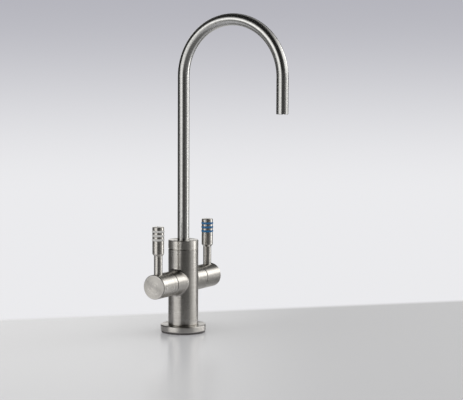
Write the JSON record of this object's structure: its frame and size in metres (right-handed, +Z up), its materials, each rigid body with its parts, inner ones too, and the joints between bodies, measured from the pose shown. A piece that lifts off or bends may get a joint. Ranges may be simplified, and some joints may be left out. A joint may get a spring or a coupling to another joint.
{
  "type": "two-lever drinking water tap",
  "caption": "Deck tap for ambient and chilled drinking water: slim column, swivelling swan-neck spout and an upright quarter-turn lever on each side arm.",
  "frame": {"origin": "centre of the underside of the foot gasket, on the worktop", "axes": "+Z up along the column's axis, +X from the column to the spout's outlet, +Y along the side arms from the ambient valve to the chilled valve"},
  "size_m": [0.1486, 0.114, 0.4118],
  "materials": {
    "satin_steel": "finely brushed stainless steel, satin",
    "plain_steel": "plain machined stainless steel",
    "brass": "plain machined brass",
    "black_rubber": "matte black rubber",
    "seal_rubber": "smooth greased rubber",
    "grey_rubber": "matte light grey rubber",
    "blue_rubber": "matte blue rubber",
    "white_plastic": "smooth white low-friction plastic",
    "ceramic": "lapped ceramic"
  },
  "bodies": {
    "tap_body": {"column": "satin_steel", "foot_flange": "satin_steel", "foot_gasket": "black_rubber", "collar": "satin_steel", "collar_bush": "white_plastic", "lower_wear_washer": "white_plastic", "upper_wear_washer": "white_plastic", "threaded_shank": "brass", "rubber_washer": "black_rubber", "clamp_washer": "plain_steel", "back_nut": "brass", "ambient_inlet_tail": "plain_steel", "ambient_tail_seal": "seal_rubber", "ambient_cartridge": "brass", "ambient_cartridge_seal": "seal_rubber", "ambient_seat_seal": "seal_rubber", "ambient_fixed_disc": "ceramic", "chilled_inlet_tail": "plain_steel", "chilled_tail_seal": "seal_rubber", "chilled_cartridge": "brass", "chilled_cartridge_seal": "seal_rubber", "chilled_seat_seal": "seal_rubber", "chilled_fixed_disc": "ceramic"},
    "spout": {"spout_tube": "satin_steel", "spout_foot": "brass", "lower_spout_seal": "seal_rubber", "upper_spout_seal": "seal_rubber", "jet_insert": "white_plastic"},
    "ambient_lever": {"ambient_moving_disc": "ceramic", "ambient_spindle": "brass", "ambient_spindle_seal": "seal_rubber", "ambient_spindle_clip": "plain_steel", "ambient_lever_hub": "satin_steel", "ambient_hub_screw": "plain_steel", "ambient_lever_rod": "satin_steel", "ambient_grip": "satin_steel", "ambient_grip_ring_lower": "grey_rubber", "ambient_grip_ring_middle": "grey_rubber", "ambient_grip_ring_upper": "grey_rubber"},
    "chilled_lever": {"chilled_moving_disc": "ceramic", "chilled_spindle": "brass", "chilled_spindle_seal": "seal_rubber", "chilled_spindle_clip": "plain_steel", "chilled_lever_hub": "satin_steel", "chilled_hub_screw": "plain_steel", "chilled_lever_rod": "satin_steel", "chilled_grip": "satin_steel", "chilled_grip_ring_lower": "blue_rubber", "chilled_grip_ring_middle": "blue_rubber", "chilled_grip_ring_upper": "blue_rubber"}
  },
  "joints": [
    {"name": "spout_swivel", "type": "hinge", "parent": "tap_body", "child": "spout", "pos_m": [0, 0, 0.08], "axis": [0, 0, 1], "continuous": true},
    {"name": "ambient_lever_turn", "type": "hinge", "parent": "tap_body", "child": "ambient_lever", "pos_m": [0, -0.04, 0.0546], "axis": [0, 1, 0], "range_deg": [0, 90]},
    {"name": "chilled_lever_turn", "type": "hinge", "parent": "tap_body", "child": "chilled_lever", "pos_m": [0, 0.04, 0.0546], "axis": [0, 1, 0], "range_deg": [0, 90]}
  ]
}
